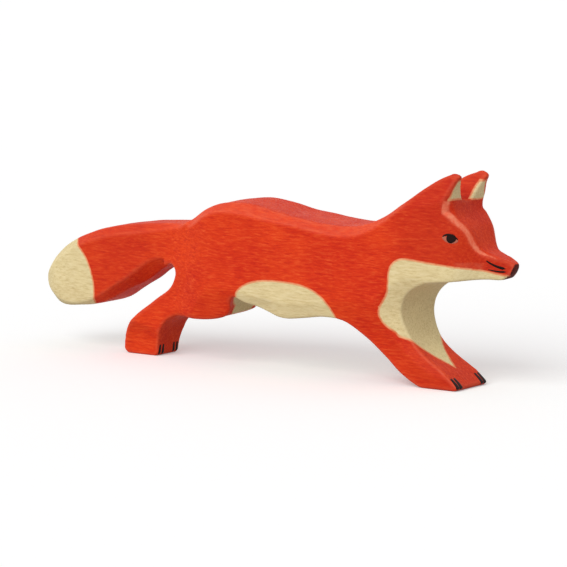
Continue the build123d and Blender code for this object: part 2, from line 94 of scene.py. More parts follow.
# Small shifts of the hand carving: a solid, a place in shares of its box, then the reach and the shift
# in millimetres
SHIFTS = {
    "right ear forward and up": ("right_ear", (0.78, 0.5, 0.55), (5.0, 4.0, 4.5), (1.7, 0.0, 0.6)),
    "right ear fuller behind": ("right_ear", (0.45, 0.3, 0.65), (4.0, 4.0, 3.0), (0.0, 0.0, 0.6)),
    "left ear forward": ("left_ear", (0.87, 0.5, 0.35), (4.0, 5.0, 3.0), (0.9, 0.0, -1.0)),
    "left ear fuller behind": ("left_ear", (0.5, 0.45, 0.7), (3.5, 4.0, 3.0), (0.0, 0.0, 0.9)),
    "brow forward": ("head", (0.76, 0.5, 0.53), (2.5, 30.0, 3.5), (0.2, 0.0, 0.0)),
    "jaw up": ("bib", (0.79, 0.5, 0.84), (4.0, 30.0, 2.0), (0.0, 0.0, 0.5)),
    "chin down": ("bib", (0.97, 0.5, 0.88), (2.5, 30.0, 2.0), (0.0, 0.0, -0.4)),
    "chest forward": ("bib", (0.23, 0.5, 0.29), (4.0, 30.0, 5.0), (0.5, 0.0, 0.0)),
    "belly up behind": ("belly_patch", (0.37, 0.5, 0.22), (5.0, 30.0, 3.0), (0.0, 0.0, 2.4)),
    "right thigh forward": ("hind_legs", (0.89, 0.0, 0.52), (5.5, 3.0, 3.5), (6.5, 0.0, 0.9)),
    "left thigh up": ("hind_legs", (0.88, 1.0, 0.48), (5.0, 5.0, 3.5), (1.5, 0.0, 0.9)),
    "thighs up": ("hind_legs", (0.81, 0.5, 0.46), (7.0, 30.0, 2.5), (0.0, 0.0, 1.1)),
    "thigh back": ("hind_legs", (0.32, 0.5, 0.74), (4.0, 30.0, 4.0), (-0.5, 0.0, 0.3)),
    "hind feet forward": ("hind_legs", (0.23, 0.5, 0.18), (4.0, 30.0, 5.0), (1.2, 0.0, 0.0)),
    "heels back": ("hind_legs", (0.06, 0.5, 0.12), (3.0, 30.0, 4.0), (-0.9, 0.0, 0.0)),
    "tail end rounder": ("tail_tip", (0.08, 0.5, 0.15), (6.0, 30.0, 5.0), (1.0, 0.0, 0.9)),
    "tail end shorter": ("tail_tip", (0.0, 0.5, 0.5), (4.0, 30.0, 8.0), (0.5, 0.0, 0.0)),
    "tail fuller above": ("tail", (0.24, 0.5, 0.89), (10.0, 30.0, 4.0), (0.0, 0.0, 0.5)),
    "tail lower at its root": ("tail", (0.66, 0.5, 0.36), (8.0, 30.0, 3.0), (0.0, 0.0, -1.5)),
}

# Where the edges are sanded rounder: a solid, a place in shares of its box and the reach in millimetres
SOFT_SPOTS = {
    "bend of the right hind leg": ("hind_legs", (0.48, 0.0, 0.45), (4.0, 5.0, 4.0)),
    "front of the right thigh": ("hind_legs", (0.9, 0.0, 0.5), (4.0, 4.0, 4.0)),
}
SOFT_ROUNDS = 16

# Rounds and steps of the searches along the surface
SURFACE_ROUNDS = 4
SHORT_ROUNDS = 2
SURFACE_STEP = 0.9
BORDER_ROUNDS = 3
BORDER_DEPTH = 0.3
EVENING_ROUNDS = 4
EVENING_STEP = 0.5
CAST_ROUNDS = 40

# Knife facets painted paler, a painted sheen on the faces that look up and across. The slant of a face is
# the share of its facing that looks across the plank: facets fade in over the first pair of slants and out
# over the second
FACET_SLANTS = ((0.3, 0.45), (0.86, 0.93))
FACET_LOWEST = -0.1
FACET_PALE = 0.2
TAIL_FACET_PALE = 0.06

# Pale strip along each cheek facet, worn paint with a painted highlight: where it fades in behind the nose
# and behind the uncut faces, and where it fades out, in millimetres, then how far a face has to look forward
STRIP_BEHIND_NOSE = (30.0, 22.0)
STRIP_EDGE = (0.1, 0.3)
STRIP_FADE = 0.4
STRIP_FACING = (0.25, 0.45)

# Darker red: from the back of the head forward, from the root of the tail back and up from the floor,
# in millimetres, then its share on the tail and on the faces that look up
DEEP_HEAD = (4.0, 26.0)
DEEP_TAIL = (2.0, 18.0)
DEEP_TAIL_HEIGHT = (12.0, 20.0)
DEEP_TAIL_SHARE = 0.6
DEEP_TOP_SHARE = 0.3
DEEP_SLANT = (0.3, 0.8)

# Lines of bare wood between two fields: the rings of squares that are searched, and the reach in millimetres
LINE_RINGS = 4
LINE_REACH = 1.0

# Brush strokes, in millimetres: how far the paint stands up, how deep it is set in, and their widths
STROKE_HEIGHT = 0.08
WHITE_HEIGHT = 0.04
LID_HEIGHT = 0.11
STROKE_DEPTH = 0.3
STROKE_THINNEST = 0.04
LID_WIDTH = 0.6
PUPIL_SIZE = (2.6, 2.6)
WHITE_WIDTH = 1.6
MOUTH_WIDTH = 0.75
LIP_WIDTH = 0.5
FORE_CLAW_WIDTH = 1.6
HIND_CLAW_WIDTH = 1.15

# How a stroke is laid out: points along and across it, the height of its rim and the swell of its ends,
# how thin a taper starts and how soon it closes, and how blunt a drawn line is. Then how far from the
# flank and the toes it is cast, in millimetres
STROKE_STEPS = 28
STROKE_LANES = 10
STROKE_RIM = 0.3
STROKE_SWELL = 12
TAPER_START = 0.35
TAPER_CLOSE = 8
DRAWN_POWER = 0.4
FLANK_CLEARANCE = 1.4
TOE_CLEARANCE = 2.0

# Brush strokes as back, middle and front points, in shares of the box of the solid they stand for
LID_LINE = ((0.0, 0.6), (0.52, 0.84), (1.0, 0.28))
WHITE_MIDDLE = (0.56, 0.2)
PUPIL_MIDDLE = (0.59, 0.42)
MOUTH_LINE = ((0.03, 0.98), (0.46, 0.52), (1.03, 0.28))
LIP_LINE = ((0.12, 0.07), (0.57, 0.0), (1.05, 0.02))

# Claws, as shares from the inner to the outer edge of their box, at the top and at the sole. Then how far
# they have spread by the middle, and how thin they start
CLAW_PLACES = ((0.7, 0.76), (0.12, 0.16))
CLAW_BEND = 0.2
CLAW_THIN = 0.5

# Noise in the paint: waves per metre along X, Y and Z, detail and roughness. Then the range of the scuffs
# and the height of the grain in metres
GRAIN = ((260, 1900, 1900), 4, 0.75)
BRUSH = ((55, 60, 85), 4, 0.6)
SCUFF = ((330, 900, 700), 4, 0.65)
SCUFF_RANGE = (0.3, 0.7)
GRAIN_HEIGHT = 0.0002

# How strongly each layer of the paint shows, from one value of its guide to another
BLOTCH_SHARES = ((0.3, 0.15), (0.7, 0.65))
# The facets are paler with painted sheen, the edges with wear
FACET_SHARES = ((0.0, 0.0), (1.0, 0.85))
EDGE_SHARES = ((0.2, 0.0), (0.8, 0.12))
LINE_SHARES = ((0.6, 0.0), (0.85, 0.85))
# The creases are darkened with painted shade
CREASE_RANGE = (-0.15, -0.7)
CREASE_SHARE = 0.6
ROUGHNESS_SPREAD = 0.08
BARE_WOOD = [(0.35, (0.78, 0.20, 0.075)), (0.65, (0.93, 0.45, 0.22))]

# Camera, fitted to the photograph: the point AIM, in millimetres, is seen at AIM_PIXEL
IMAGE_SIZE = 567
AZIMUTH = 35.55
ELEVATION = 7.42
DISTANCE = 1000.0
FOCAL_PIXELS = 3406.0
AIM = (0.25, 0.0, 31.0)
AIM_PIXEL = (271.16, 261.33)
CLIP_START = 0.01

# Light: a broad lamp, placed by its shares towards the camera, to the right and up, and an even sky
KEY_PLACE = (0.66, -0.5, 0.5)
KEY_STRENGTH = 1.67
KEY_SOFTNESS = 50.0
SKY_STRENGTH = 0.55

# Floor: half its width in metres, its tones in bounced light and as it is seen, and the glow that is seen
FLOOR_HALF = 4
FLOOR_TONES = (0.5, 0.95)
FLOOR_GLOW = 0.19
FLOOR_ROUGHNESS = 0.9

# Which solid carries each painted mark
HOSTS = {
    "right_eye": "head",
    "left_eye": "head",
    "right_mouth_lines": "head",
    "left_mouth_lines": "head",
    "right_fore_claws": "forelegs",
    "left_fore_claws": "forelegs",
    "right_hind_claws": "hind_legs",
    "left_hind_claws": "hind_legs",
}
SLOTS = {part["node"]: part["material_slot"] for part in frame["record"]["subparts"]}
NODES = sorted(frame["nodes"])
BODY_NODES = [name for name in NODES if name not in HOSTS]
LABELS = {name: 1 + BODY_NODES.index(HOSTS.get(name, name)) for name in NODES}


def triangles(name):
    """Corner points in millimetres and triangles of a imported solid."""
    mesh = frame["nodes"][name].data
    mesh.calc_loop_triangles()
    points = np.empty(len(mesh.vertices) * 3)
    mesh.vertices.foreach_get("co", points)
    corners = np.empty(len(mesh.loop_triangles) * 3, dtype=np.int32)
    mesh.loop_triangles.foreach_get("vertices", corners)
    return points.reshape(-1, 3) / MM, corners.reshape(-1, 3)


def tree_of(points, corners):
    """A search tree over triangles."""
    return BVHTree.FromPolygons([Vector(p) for p in points], corners.tolist(), all_triangles=True)


def distance_to(tree, spot):
    """How far a point is from the nearest triangle of a tree."""
    return tree.find_nearest(Vector(spot))[3]


def box_mm(node):
    """Lowest and highest corner of a solid's box, in millimetres."""
    low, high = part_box(node)
    return np.array(low) / MM, np.array(high) / MM


solids = {name: triangles(name) for name in NODES}
trees = {name: tree_of(*solids[name]) for name in NODES}


def on_the_outside(name):
    """Which triangles of a solid lie on the figure's outside, and not against another solid."""
    points, corners = solids[name]
    low, high = points.min(0) - BOX_MARGIN, points.max(0) + BOX_MARGIN
    near = [
        trees[other]
        for other in NODES
        if other != name
        and (solids[other][0].max(0) > low).all()
        and (solids[other][0].min(0) < high).all()
    ]
    spots = points[corners]
    middles = spots.mean(1)
    normals = np.cross(spots[:, 1] - spots[:, 0], spots[:, 2] - spots[:, 0])
    outside = np.ones(len(corners), dtype=bool)
    for k, (middle, normal) in enumerate(zip(middles, normals)):
        here, facing = Vector(middle), Vector(normal).normalized()
        for tree in near:
            place, other_facing, _, _ = tree.find_nearest(here, TOUCH_GAP)
            if place is not None and facing.dot(other_facing) < TOUCH_FACING:
                outside[k] = False
                break
    return outside


# The figure's outside as one tree
skin_points, skin_corners, skin_owner, count = [], [], [], 0
for name in NODES:
    points, corners = solids[name]
    outer_corners = corners[on_the_outside(name)]
    skin_points.append(points)
    skin_corners.append(outer_corners + count)
    skin_owner += [LABELS[name]] * len(outer_corners)
    count += len(points)
everything = np.concatenate(skin_points)
skin_tree = tree_of(everything, np.concatenate(skin_corners))

# Grid around the figure
margin = (BAND_CELLS + 2) * CELL
origin = everything.min(0) - margin + np.array(GRID_OFFSET)
shape = np.ceil((everything.max(0) + margin - origin) / CELL).astype(int) + 1
gx, gy, gz = [origin[axis] + CELL * np.arange(shape[axis]) for axis in range(3)]
owner = np.zeros(shape, dtype=np.int8)


def fill(name):
    """Writes a solid's label to the grid points inside it, row by row along the figure."""
    tree = trees[name]
    low = np.floor((solids[name][0].min(0) - origin) / CELL).astype(int)
    high = np.ceil((solids[name][0].max(0) - origin) / CELL).astype(int)
    forward = Vector((1, 0, 0))
    for j in range(low[1], high[1] + 1):
        for k in range(low[2], high[2] + 1):
            y, z = origin[1] + j * CELL, origin[2] + k * CELL
            start, entered = origin[0], None
            while True:
                place, normal, _, _ = tree.ray_cast(Vector((start, y, z)), forward)
                if place is None:
                    break
                if normal.x < 0:
                    entered = place.x
                elif entered is not None:
                    first = math.ceil((entered - origin[0]) / CELL)
                    last = math.ceil((place.x - origin[0]) / CELL)
                    owner[first:last, j, k] = LABELS[name]
                    entered = None
                start = place.x + RAY_STEP


for name in NODES:
    fill(name)


def shifted(grid, axis, step):
    """A grid moved by a step along an axis."""
    return np.roll(grid, step, axis)


def grown(mask, rounds):
    """A mask widened by a cell all round, as often as rounds says."""
    for _ in range(rounds):
        wider = mask.copy()
        for axis in range(3):
            wider |= shifted(mask, axis, 1) | shifted(mask, axis, -1)
        mask = wider
    return mask


def blurred(grid):
    """A grid with each value evened out with its neighbours."""
    for axis in range(3):
        grid = 0.25 * shifted(grid, axis, 1) + 0.5 * grid + 0.25 * shifted(grid, axis, -1)
    return grid


def smooth_step(low, high, values):
    """0 below low, 1 above high, and an even rise between them."""
    share = np.clip((values - low) / (high - low), 0, 1)
    return share * share * (3 - 2 * share)


# Distance to the outside, negative in the wood. The wood just below the outside takes the label above it
inside = owner > 0
band = grown(inside, BAND_CELLS) & grown(~inside, BAND_CELLS)
depth = np.where(inside, -BAND_CELLS * CELL, BAND_CELLS * CELL).astype(np.float32)
for i, j, k in np.argwhere(band):
    spot = Vector((origin[0] + i * CELL, origin[1] + j * CELL, origin[2] + k * CELL))
    _, _, triangle, far = skin_tree.find_nearest(spot)
    depth[i, j, k] = -far if inside[i, j, k] else far
    if inside[i, j, k] and far < SKIN_CELLS * CELL:
        owner[i, j, k] = skin_owner[triangle]
depth = np.clip(depth, -BAND_CELLS * CELL, BAND_CELLS * CELL)

# The cheeks keep more wood than the plain facets of the solid: the outline of the middle plane and the
# flanks are carried on to a narrower facet, from the muzzle up to the foot of the ears
head_low, head_high = box_mm("head")
eye_back = box_mm("right_eye")[0][0]
middle_row = int(round(-origin[1] / CELL))
face_profile = depth[:, middle_row, :]
widest = np.where(inside, np.abs(gy)[None, :, None], 0).max(axis=(1, 2))
widest = np.convolve(widest, np.ones(FLANK_CELLS) / FLANK_CELLS, mode="same") + CELL / 2
cheek_turn = 1 / np.hypot(1, np.gradient(widest, CELL))
from_flank_plane = (np.abs(gy)[None, :] - widest[:, None]) * cheek_turn[:, None]
crown_start, crown_full = [head_high[2] - drop for drop in CHEEK_BELOW_CROWN]
nose_start, nose_full = [head_high[0] - drop for drop in CHEEK_BEHIND_NOSE]
fullness = smooth_step(crown_start, crown_full, gz)[None, :]
fullness = fullness * smooth_step(eye_back - CHEEK_BEHIND_EYE, eye_back, gx)[:, None]
fullness = fullness * smooth_step(nose_start, nose_full, gx)[:, None]
facet_cut = np.where(fullness > 0, CHEEK_FACET + CHEEK_FADE * (1 - fullness), math.inf)
corner_sum = face_profile[:, None, :] + from_flank_plane[:, :, None]
fuller = np.maximum(face_profile[:, None, :], from_flank_plane[:, :, None])
fuller = np.maximum(fuller, (corner_sum + facet_cut[:, None, :]) / math.sqrt(2))
above_jaw = (gz > head_low[2] + JAW_HEIGHT)[None, None, :]
depth = np.where(above_jaw, np.minimum(depth, fuller), depth).astype(np.float32)

# Sanding rounds the knife edges, and rounds them more at the soft spots
for _ in range(SANDING_ROUNDS):
    depth = blurred(depth)
rounder = depth
for _ in range(SOFT_ROUNDS):
    rounder = blurred(rounder)
for node, share, reach in SOFT_SPOTS.values():
    low, high = box_mm(node)
    by_axis = zip((gx, gy, gz), low + share * (high - low), reach)
    near_x, near_y, near_z = [np.exp(-(((at - middle) / wide) ** 2) / 2) for at, middle, wide in by_axis]
    near_spot = near_x[:, None, None] * near_y[None, :, None] * near_z[None, None, :]
    depth = depth + (near_spot * (rounder - depth)).astype(np.float32)

# The hand leaves the faces a little uneven above the soles
dice = np.random.default_rng(WAVE_SEED)
waves = np.zeros(shape, dtype=np.float32)
for _ in range(WAVE_COUNT):
    way = dice.normal(size=3)
    way *= 2 * math.pi / dice.uniform(*WAVE_LENGTHS) / np.linalg.norm(way)
    phase = dice.uniform(0, 2 * math.pi)
    along = way[0] * gx[:, None, None] + way[1] * gy[None, :, None] + way[2] * gz[None, None, :]
    waves += np.sin(along + phase).astype(np.float32)
above_sole = np.clip((gz - WAVE_FOOT) / WAVE_RISE, 0, 1)[None, None, :]
depth = depth + WAVE_HEIGHT * waves * above_sole

# Labels for the softened wood: what the cheeks and the waves added takes the label beside it
wood = depth < 0
label = np.where(wood, owner, 0).astype(np.int8)
for _ in range(BAND_CELLS):
    bare = wood & (label == 0)
    if not bare.any():
        break
    for axis in range(3):
        for step in (1, -1):
            beside = shifted(label, axis, step)
            label = np.where(bare & (label == 0), beside, label)


def mend_rows():
    """Gives loose rows and single points of a label to the label around them."""
    around = [shifted(label, axis, step) for axis in range(3) for step in (1, -1)]
    same = sum((beside == label).astype(np.int8) for beside in around)
    in_wood = np.logical_and.reduce([beside > 0 for beside in around])
    for at in np.argwhere(wood & in_wood & (same < LIKE_NEIGHBOURS)):
        near = [label[tuple(at + step)] for step in STEPS]
        label[tuple(at)] = max(set(near) - {label[tuple(at)]}, key=near.count)


def mend_corners():
    """Joins a label that meets itself only across an edge, so that each piece has one plain skin."""
    for one, two in ((0, 1), (0, 2), (1, 2)):
        step_one, step_two = np.eye(3, dtype=int)[[one, two]]
        beside, below = shifted(label, one, -1), shifted(label, two, -1)
        across = shifted(beside, two, -1)
        straight = (label == across) & (label > 0) & (beside != label) & (below != label)
        crossed = (beside == below) & (beside > 0) & (label != beside) & (across != beside)
        patterns = (
            (straight, 0 * step_one, (step_one, step_two)),
            (crossed, step_one, (0 * step_one, step_one + step_two)),
        )
        for pattern, kept, others in patterns:
            for at in np.argwhere(pattern):
                in_reach = [tuple(at + other) for other in others if label[tuple(at + other)] > 0]
                if in_reach:
                    label[in_reach[0]] = label[tuple(at + kept)]


for _ in range(LABEL_ROUNDS):
    mend_rows()
    mend_corners()


def sample(grid, spots):
    """Values of a grid at points, from the eight grid points around each."""
    place = (spots - origin) / CELL
    base = np.clip(np.floor(place).astype(int), 0, shape - 2)
    part = place - base
    value = np.zeros(len(spots))
    for corner in range(8):
        step = np.array([corner >> 2 & 1, corner >> 1 & 1, corner & 1])
        weight = np.prod(np.where(step, part, 1 - part), axis=1)
        i, j, k = (base + step).T
        value += weight * grid[i, j, k]
    return value


slopes = [slope.astype(np.float32) for slope in np.gradient(depth, CELL)]


def outward(spots):
    """Which way the surface faces at points."""
    normals = np.stack([sample(slope, spots) for slope in slopes], axis=1)
    return normals / np.maximum(np.linalg.norm(normals, axis=1, keepdims=True), 1e-9)


def onto_surface(spots, rounds=SURFACE_ROUNDS):
    """Points moved straight onto the surface."""
    for _ in range(rounds):
        spots = spots - SURFACE_STEP * sample(depth, spots)[:, None] * outward(spots)
    return spots


# One corner point for each cell that holds a border, one square for each grid edge that crosses one.
# RINGS has the four cells around an edge along each axis
cells = shape - 1
RINGS = {
    0: [(0, -1, -1), (0, 0, -1), (0, 0, 0), (0, -1, 0)],
    1: [(-1, 0, -1), (-1, 0, 0), (0, 0, 0), (0, 0, -1)],
    2: [(-1, -1, 0), (0, -1, 0), (0, 0, 0), (-1, 0, 0)],
}
squares, first_label, second_label, crossing, is_outer = [], [], [], [], []
for axis in range(3):
    step = np.eye(3, dtype=int)[axis]
    differ = label != shifted(label, axis, -1)
    differ[tuple(slice(-1, None) if other == axis else slice(None) for other in range(3))] = False
    at = np.argwhere(differ)
    one = label[tuple(at.T)]
    two = label[tuple((at + step).T)]
    outer = (one == 0) | (two == 0)
    depth_one = depth[tuple(at.T)]
    depth_two = depth[tuple((at + step).T)]
    share = np.full(len(at), 0.5)
    share[outer] = depth_one[outer] / (depth_one[outer] - depth_two[outer])
    for n in np.flatnonzero(~outer):
        here = origin + at[n] * CELL
        there = here + step * CELL
        to_two = distance_to(trees[BODY_NODES[two[n] - 1]], here)
        to_one = distance_to(trees[BODY_NODES[one[n] - 1]], there)
        share[n] = to_two / max(to_one + to_two, 1e-6)
    crossing.append(origin + (at + share[:, None] * step) * CELL)
    ring = np.stack([at + np.array(cell) for cell in RINGS[axis]], axis=1)
    squares.append((ring[..., 0] * cells[1] + ring[..., 1]) * cells[2] + ring[..., 2])
    first_label.append(one)
    second_label.append(two)
    is_outer.append(outer)
squares = np.concatenate(squares)
first_label = np.concatenate(first_label).astype(int)
second_label = np.concatenate(second_label).astype(int)
crossing = np.concatenate(crossing)
is_outer = np.concatenate(is_outer)
used, squares = np.unique(squares, return_inverse=True)
squares = squares.reshape(-1, 4)


def gathered(rows, values):
    """Mean of values over the squares' corners, and how many squares meet at each corner."""
    total = np.zeros((len(used), 3))
    number = np.zeros(len(used))
    for corner in range(4):
        np.add.at(total, squares[rows, corner], values[rows])
        np.add.at(number, squares[rows, corner], 1)
    return total / np.maximum(number, 1)[:, None], number


outer_mean, outer_number = gathered(np.flatnonzero(is_outer), crossing)
inner_mean, inner_number = gathered(np.flatnonzero(~is_outer), crossing)
touches_air = outer_number > 0
on_border = touches_air & (inner_number > 0)
spots = np.where(touches_air[:, None], outer_mean, inner_mean)
spots[on_border] = (outer_mean[on_border] + inner_mean[on_border]) / 2

# The labels that meet at each corner, as bits. The air has bit 0, which is left out
met = np.zeros(len(used), dtype=np.int64)
for corner in range(4):
    np.bitwise_or.at(met, squares[:, corner], (1 << first_label) | (1 << second_label))
met &= ~1


def onto_border(n):
    """Moves a corner on the line between two painted fields onto that line."""
    names = [BODY_NODES[bit - 1] for bit in range(1, len(BODY_NODES) + 1) if met[n] >> bit & 1]
    if len(names) != 2:
        return
    below = spots[n] - BORDER_DEPTH * outward(spots[n : n + 1])[0]
    here = Vector(below)
    place, normal, _, _ = trees[names[0]].find_nearest(here)
    other = names[1] if (here - place).dot(normal) < 0 else names[0]
    target = trees[other].find_nearest(here)[0]
    spots[n] += np.clip(np.array(target) - below, -CELL, CELL)


for _ in range(BORDER_ROUNDS):
    spots[touches_air] = onto_surface(spots[touches_air], SHORT_ROUNDS)
    for n in np.flatnonzero(on_border):
        onto_border(n)
spots[touches_air] = onto_surface(spots[touches_air])

# Even out the squares along the surface
outer_rows = np.flatnonzero(is_outer)
links = np.concatenate([squares[outer_rows][:, [corner, (corner + 1) % 4]] for corner in range(4)])
links = np.unique(np.sort(links, axis=1), axis=0)
for _ in range(EVENING_ROUNDS):
    total = np.zeros_like(spots)
    number = np.zeros(len(spots))
    for one, two in ((0, 1), (1, 0)):
        np.add.at(total, links[:, one], spots[links[:, two]])
        np.add.at(number, links[:, one], 1)
    free = touches_air & ~on_border
    drift = total[free] / number[free][:, None] - spots[free]
    facing = outward(spots[free])
    drift -= facing * (drift * facing).sum(1, keepdims=True)
    spots[free] = onto_surface(spots[free] + EVENING_STEP * drift, SHORT_ROUNDS)
facings = outward(spots)

# Guides for the paint. The first is how sharply the surface turns: above 0 on edges, below 0 in creases
turning = blurred(sum(np.gradient(slopes[axis], CELL, axis=axis) for axis in range(3)))
edge = np.clip(sample(turning, spots), -1, 1)

# Painted sheen: the knife facets, the faces that slant between the flanks and the top and don't look down,
# are painted paler, as if lit. The tail's are hardly paler
slant = np.abs(facings[:, 1])
tail_root = box_mm("tail")[1][0]
facet = smooth_step(*FACET_SLANTS[0], slant) * (1 - smooth_step(*FACET_SLANTS[1], slant))
facet *= facings[:, 2] > FACET_LOWEST
facet *= np.where(spots[:, 0] < tail_root, TAIL_FACET_PALE, FACET_PALE)

# On the head the painted highlight lies only on the two strips along the cheek facets, where they look
# forward
strip_start, strip_full = [head_high[0] - back for back in STRIP_BEHIND_NOSE]
on_head = smooth_step(strip_start, strip_full, spots[:, 0]) * (spots[:, 2] > head_low[2] + JAW_HEIGHT)
behind_face = -sample(np.broadcast_to(face_profile[:, None, :], shape), spots)
behind_flank = -sample(np.broadcast_to(from_flank_plane[:, :, None], shape), spots)
strip = smooth_step(*STRIP_EDGE, behind_face) * smooth_step(*STRIP_EDGE, behind_flank)
strip *= 1 - smooth_step(CHEEK_FACET, CHEEK_FACET + STRIP_FADE, behind_flank)
strip *= smooth_step(*STRIP_FACING, facings[:, 0])
facet = np.where(on_head > 0, on_head * strip, facet)

# The red is darker on the head, the forelegs and the tail, most on faces that look sideways
head_start, head_full = [head_low[0] + ahead for ahead in DEEP_HEAD]
tail_start, tail_full = [tail_root - back for back in DEEP_TAIL]
deep = smooth_step(head_start, head_full, spots[:, 0])
on_tail = smooth_step(tail_start, tail_full, spots[:, 0]) * smooth_step(*DEEP_TAIL_HEIGHT, spots[:, 2])
by_slant = DEEP_TOP_SHARE + (1 - DEEP_TOP_SHARE) * smooth_step(*DEEP_SLANT, slant)
deep = (deep + DEEP_TAIL_SHARE * on_tail) * by_slant


def field_tree(slot):
    """A search tree over all body solids of one paint."""
    points, corners, count = [], [], 0
    for name in BODY_NODES:
        if SLOTS[name] == slot:
            points.append(solids[name][0])
            corners.append(solids[name][1] + count)
            count += len(points[-1])
    return tree_of(np.concatenate(points), np.concatenate(corners))


# Lines of bare wood where a cream field meets a red one: how near each corner is to the other field
fields = ("red_coat", "cream_coat")
red_tree, cream_tree = [field_tree(slot) for slot in fields]
in_field = [sum(1 << LABELS[name] for name in BODY_NODES if SLOTS[name] == slot) for slot in fields]
is_red, is_cream = [(met & bits) > 0 for bits in in_field]
by_line = is_red & is_cream
for _ in range(LINE_RINGS):
    for one, two in ((0, 1), (1, 0)):
        by_line[links[by_line[links[:, one]], two]] = True
bare_line = np.zeros(len(spots))
for n in np.flatnonzero(by_line & touches_air):
    if is_red[n] and is_cream[n]:
        bare_line[n] = 1
    else:
        other = cream_tree if is_red[n] else red_tree
        bare_line[n] = max(0, 1 - distance_to(other, spots[n]) / LINE_REACH)

PAINT_GUIDES = {"edge": edge, "facet": facet, "line": bare_line, "deep": deep}


def hand_shift(points):
    """How far the hand carving moves points, and how it bends the wood around them."""
    shift = np.zeros_like(points)
    bend = np.tile(np.eye(3), (len(points), 1, 1))
    for node, share, reach, way in SHIFTS.values():
        low, high = box_mm(node)
        away = (points - low - share * (high - low)) / reach
        weight = np.exp(-(away ** 2).sum(1) / 2)[:, None]
        shift += weight * way
        bend += np.array(way)[None, :, None] * (-weight * away / reach)[:, None, :]
    return shift, bend


shift, bend = hand_shift(spots)
spots = spots + shift
facings = np.linalg.solve(np.swapaxes(bend, 1, 2), facings[..., None])[..., 0]
facings /= np.linalg.norm(facings, axis=1, keepdims=True)


def mesh_object(name, points, faces, node=None):
    """A closed mesh in the shared frame, riding on the figure."""
    mesh = bpy.data.meshes.new(name)
    mesh.from_pydata((np.asarray(points) * MM).tolist(), [], np.asarray(faces).tolist())
    mesh.update()
    mesh.polygons.foreach_set("use_smooth", np.ones(len(mesh.polygons), dtype=bool))
    piece = bpy.data.objects.new(name, mesh)
    bpy.context.scene.collection.objects.link(piece)
    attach(piece, "root")
    if node:
        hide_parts(node)
    return piece


def body_piece(name):
    """One piece of the figure, cut out of the common surface along its borders."""
    forward = first_label == LABELS[name]
    backward = second_label == LABELS[name]
    faces = np.concatenate([squares[forward], squares[backward][:, ::-1]])
    in_air = np.concatenate([is_outer[forward], is_outer[backward]])
    kept, faces = np.unique(faces, return_inverse=True)
    faces = faces.reshape(-1, 4)
    piece = mesh_object("fox_" + name, spots[kept], faces, name)
    mesh = piece.data
    flat = np.empty(len(faces) * 3)
    mesh.polygons.foreach_get("normal", flat)
    normals = np.repeat(flat.reshape(-1, 3), 4, axis=0)
    corner_in_air = np.repeat(in_air, 4)
    normals[corner_in_air] = facings[kept][faces.reshape(-1)[corner_in_air]]
    mesh.normals_split_custom_set(normals.tolist())
    for guide_name, numbers in PAINT_GUIDES.items():
        values = mesh.attributes.new(guide_name, "FLOAT", "POINT")
        values.data.foreach_set("value", numbers[kept].astype(np.float32))
    return piece


pieces = {name: body_piece(name) for name in BODY_NODES}


def bent(line, share):
    """Points on the smooth line through three points."""
    start, middle, end = [np.asarray(point, dtype=float) for point in line]
    share = share[:, None]
    first = (1 - share) * (1 - 2 * share) * start
    return first + 4 * share * (1 - share) * middle + share * (2 * share - 1) * end


def cast(starts, way):
    """Where lines from outside the figure meet its surface."""
    found = starts.copy()
    for _ in range(CAST_ROUNDS):
        found += way * sample(depth, found)[:, None]
    return found


def from_flank(side):
    """Casts (X, Z) points of the drawing onto a flank."""
    beside = side * (everything[:, 1].max() + FLANK_CLEARANCE)
    return lambda flat: cast(
        np.stack([flat[:, 0], np.full(len(flat), beside), flat[:, 1]], axis=1), np.array([0, -side, 0])
    )


def from_front(start):
    """Casts (Y, Z) points of the drawing onto the front of the toes."""
    return lambda flat: cast(
        np.stack([np.full(len(flat), start), flat[:, 0], flat[:, 1]], axis=1), np.array([-1, 0, 0])
    )


def stroke(line, half_widths, from_outside, height=STROKE_HEIGHT):
    """A brush stroke as a low closed shell on the surface: its points and faces.

    line holds three points of the stroke as seen along the way that from_outside casts. half_widths
    gives the half width at shares of the stroke's length, and height is how far the paint stands up.
    """
    share = (1 - np.cos(np.linspace(0, math.pi, STROKE_STEPS))) / 2
    middle = bent(line, share)
    run = np.gradient(middle, axis=0)
    side = np.stack([-run[:, 1], run[:, 0]], axis=1)
    side /= np.linalg.norm(side, axis=1, keepdims=True)
    lane = np.linspace(-1, 1, STROKE_LANES)
    reach = np.maximum(half_widths(share), STROKE_THINNEST)[:, None] * lane
    flat = (middle[:, None] + side[:, None] * reach[..., None]).reshape(-1, 2)
    skin = from_outside(flat)
    facing = outward(skin)
    rise = np.minimum(1, STROKE_SWELL * share * (1 - share))[:, None] * (1 - lane ** 4)
    top = skin + facing * (height * (STROKE_RIM + (1 - STROKE_RIM) * rise)).reshape(-1, 1)
    bottom = skin - facing * STROKE_DEPTH
    under = STROKE_STEPS * STROKE_LANES
    number = np.arange(under).reshape(STROKE_STEPS, STROKE_LANES)
    corners = [number[:-1, :-1], number[1:, :-1], number[1:, 1:], number[:-1, 1:]]
    sheet = np.stack(corners, -1).reshape(-1, 4)
    rim = np.concatenate([number[0, :-1], number[:-1, -1], number[-1, :0:-1], number[:0:-1, 0]])
    after = np.roll(rim, -1)
    wall = np.stack([rim, after, after + under, rim + under], axis=1)
    faces = np.concatenate([sheet, sheet[:, ::-1] + under, wall])
    points = np.concatenate([top, bottom])
    across_one = points[sheet[0, 1]] - points[sheet[0, 0]]
    across_two = points[sheet[0, 3]] - points[sheet[0, 0]]
    if np.cross(across_one, across_two).dot(facing[0]) < 0:
        faces = faces[:, ::-1]
    return points + hand_shift(points)[0], faces


def tapered(width, thin=TAPER_START):
    """Half widths of a stroke that starts thin and swells to its end."""
    def half_width(share):
        swell = thin + (1 - thin) * np.sqrt(share)
        return width / 2 * swell * np.minimum(1, TAPER_CLOSE * (1 - share))

    return half_width


def drawn(width):
    """Half widths of a stroke that is thin at both ends."""
    return lambda share: width / 2 * (4 * share * (1 - share)) ** DRAWN_POWER


